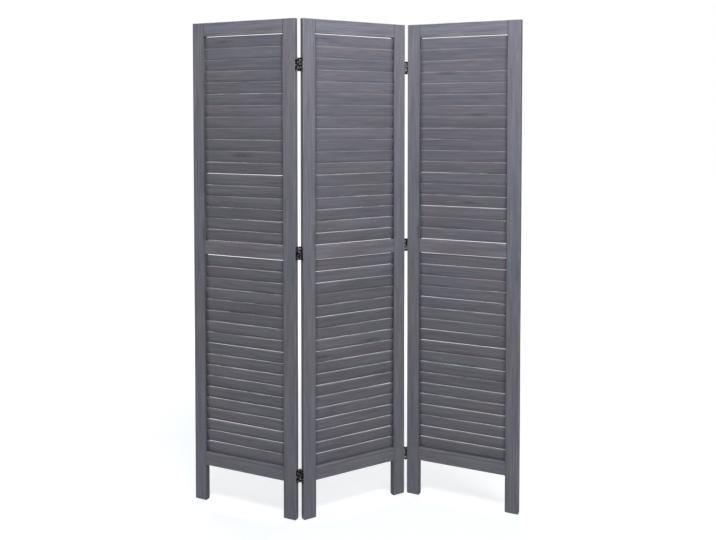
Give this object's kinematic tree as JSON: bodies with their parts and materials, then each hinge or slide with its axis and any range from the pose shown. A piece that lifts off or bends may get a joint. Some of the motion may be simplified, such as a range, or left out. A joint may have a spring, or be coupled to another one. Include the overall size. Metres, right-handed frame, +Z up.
{
  "type": "folding screen",
  "caption": "Free-standing folding screen of hinged, louvred wooden panels on short legs, standing in a zigzag.",
  "frame": {"origin": "on the floor, below the middle of the standing screen", "axes": "+Z up, +X to the right as seen from the front, the front facing -Y"},
  "size_m": [1.1022, 0.2054, 1.65],
  "materials": {
    "grey_washed_wood": "matte grey wash",
    "dowel_wood": "bare",
    "black_hinge_metal": "satin black",
    "black_screw_metal": "satin black",
    "hinge_pin_steel": "plain"
  },
  "bodies": {
    "middle_panel": {"left_joint_bottom_hinge_middle_leaf": "black_hinge_metal", "left_joint_bottom_hinge_pin": "hinge_pin_steel", "left_joint_middle_hinge_middle_leaf": "black_hinge_metal", "left_joint_middle_hinge_pin": "hinge_pin_steel", "left_joint_middle_panel_screws": "black_screw_metal", "left_joint_top_hinge_middle_leaf": "black_hinge_metal", "left_joint_top_hinge_pin": "hinge_pin_steel", "middle_panel_bottom_rail": "grey_washed_wood", "middle_panel_bottom_rail_dowels": "dowel_wood", "middle_panel_left_stile": "grey_washed_wood", "middle_panel_lower_slats": "grey_washed_wood", "middle_panel_middle_rail": "grey_washed_wood", "middle_panel_middle_rail_dowels": "dowel_wood", "middle_panel_right_stile": "grey_washed_wood", "middle_panel_top_rail": "grey_washed_wood", "middle_panel_top_rail_dowels": "dowel_wood", "middle_panel_upper_slats": "grey_washed_wood", "right_joint_bottom_hinge_middle_leaf": "black_hinge_metal", "right_joint_bottom_hinge_pin": "hinge_pin_steel", "right_joint_middle_hinge_middle_leaf": "black_hinge_metal", "right_joint_middle_hinge_pin": "hinge_pin_steel", "right_joint_middle_panel_screws": "black_screw_metal", "right_joint_top_hinge_middle_leaf": "black_hinge_metal", "right_joint_top_hinge_pin": "hinge_pin_steel"},
    "left_panel": {"left_joint_bottom_hinge_left_leaf": "black_hinge_metal", "left_joint_left_panel_screws": "black_screw_metal", "left_joint_middle_hinge_left_leaf": "black_hinge_metal", "left_joint_top_hinge_left_leaf": "black_hinge_metal", "left_panel_bottom_rail": "grey_washed_wood", "left_panel_bottom_rail_dowels": "dowel_wood", "left_panel_left_stile": "grey_washed_wood", "left_panel_lower_slats": "grey_washed_wood", "left_panel_middle_rail": "grey_washed_wood", "left_panel_middle_rail_dowels": "dowel_wood", "left_panel_right_stile": "grey_washed_wood", "left_panel_top_rail": "grey_washed_wood", "left_panel_top_rail_dowels": "dowel_wood", "left_panel_upper_slats": "grey_washed_wood"},
    "right_panel": {"right_joint_bottom_hinge_right_leaf": "black_hinge_metal", "right_joint_middle_hinge_right_leaf": "black_hinge_metal", "right_joint_right_panel_screws": "black_screw_metal", "right_joint_top_hinge_right_leaf": "black_hinge_metal", "right_panel_bottom_rail": "grey_washed_wood", "right_panel_bottom_rail_dowels": "dowel_wood", "right_panel_left_stile": "grey_washed_wood", "right_panel_lower_slats": "grey_washed_wood", "right_panel_middle_rail": "grey_washed_wood", "right_panel_middle_rail_dowels": "dowel_wood", "right_panel_right_stile": "grey_washed_wood", "right_panel_top_rail": "grey_washed_wood", "right_panel_top_rail_dowels": "dowel_wood", "right_panel_upper_slats": "grey_washed_wood"}
  },
  "joints": [
    {"name": "left_fold", "type": "hinge", "parent": "middle_panel", "child": "left_panel", "pos_m": [-0.18539, -0.08429, 0.883], "axis": [0, 0, 1], "range_deg": [-123.5, 56.5]},
    {"name": "right_fold", "type": "hinge", "parent": "middle_panel", "child": "right_panel", "pos_m": [0.18539, 0.08429, 0.883], "axis": [0, 0, 1], "range_deg": [-123.5, 56.5]}
  ]
}
